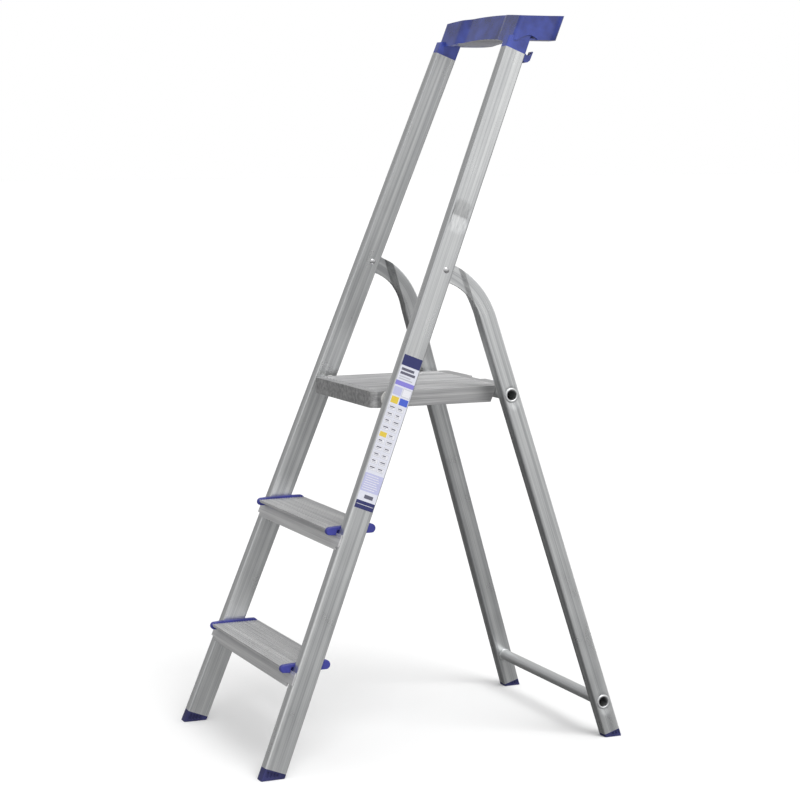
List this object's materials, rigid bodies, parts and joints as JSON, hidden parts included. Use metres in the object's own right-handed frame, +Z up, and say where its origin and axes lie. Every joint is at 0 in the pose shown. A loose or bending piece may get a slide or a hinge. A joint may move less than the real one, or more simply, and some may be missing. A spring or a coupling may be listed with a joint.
{
  "type": "step stool",
  "caption": "Folding aluminium platform step stool with treads, a standing platform, a guard frame and a tool tray.",
  "frame": {"origin": "on the floor, in the middle of the footprint when open", "axes": "+X to the right of someone climbing, +Y from the treads towards the rear legs, +Z up"},
  "size_m": [0.4418, 0.702, 1.3065],
  "materials": {
    "mill_aluminium": "mill finish with fine lengthwise drawing lines",
    "leg_aluminium": "mill finish with fine lengthwise drawing lines",
    "tread_aluminium": "extruded, finely ribbed, mill finish",
    "platform_aluminium": "pressed and tumbled, satin",
    "tube_aluminium": "drawn tube, satin",
    "rivet_aluminium": "bright, hammered",
    "tray_plastic": "moulded, glossy",
    "cap_plastic": "moulded, semi-gloss",
    "foot_plastic": "moulded, matt",
    "washer_plastic": "turned nylon",
    "label_film": "printed film, satin"
  },
  "bodies": {
    "front_frame": {"stile_left": "mill_aluminium", "stile_right": "mill_aluminium", "step_lower": "tread_aluminium", "step_upper": "tread_aluminium", "step_cap_lower_left": "cap_plastic", "step_cap_lower_right": "cap_plastic", "step_cap_upper_left": "cap_plastic", "step_cap_upper_right": "cap_plastic", "front_foot_left": "foot_plastic", "front_foot_right": "foot_plastic", "tool_tray": "tray_plastic", "tray_rivets": "rivet_aluminium", "side_label": "label_film", "leg_rivet_left": "rivet_aluminium", "leg_rivet_right": "rivet_aluminium", "leg_washers": "washer_plastic", "platform_pivot_tube": "tube_aluminium"},
    "rear_frame": {"rear_leg_left": "leg_aluminium", "rear_leg_right": "leg_aluminium", "platform_rest_tube": "tube_aluminium", "lower_cross_tube": "tube_aluminium", "rear_foot_left": "foot_plastic", "rear_foot_right": "foot_plastic"},
    "platform": {"platform": "platform_aluminium", "platform_bush_left": "washer_plastic", "platform_bush_right": "washer_plastic"}
  },
  "joints": [
    {"name": "rear_fold", "type": "hinge", "parent": "front_frame", "child": "rear_frame", "pos_m": [0, 0.01797, 0.85803], "axis": [-1, 0, 0], "range_deg": [0, 37]},
    {"name": "platform_lift", "type": "hinge", "parent": "front_frame", "child": "platform", "pos_m": [0, -0.076, 0.633], "axis": [1, 0, 0], "range_deg": [0, 68.4]}
  ],
  "couplings": [
    {"joint": "platform_lift", "follows": "rear_fold", "ratio": 1.8486}
  ]
}
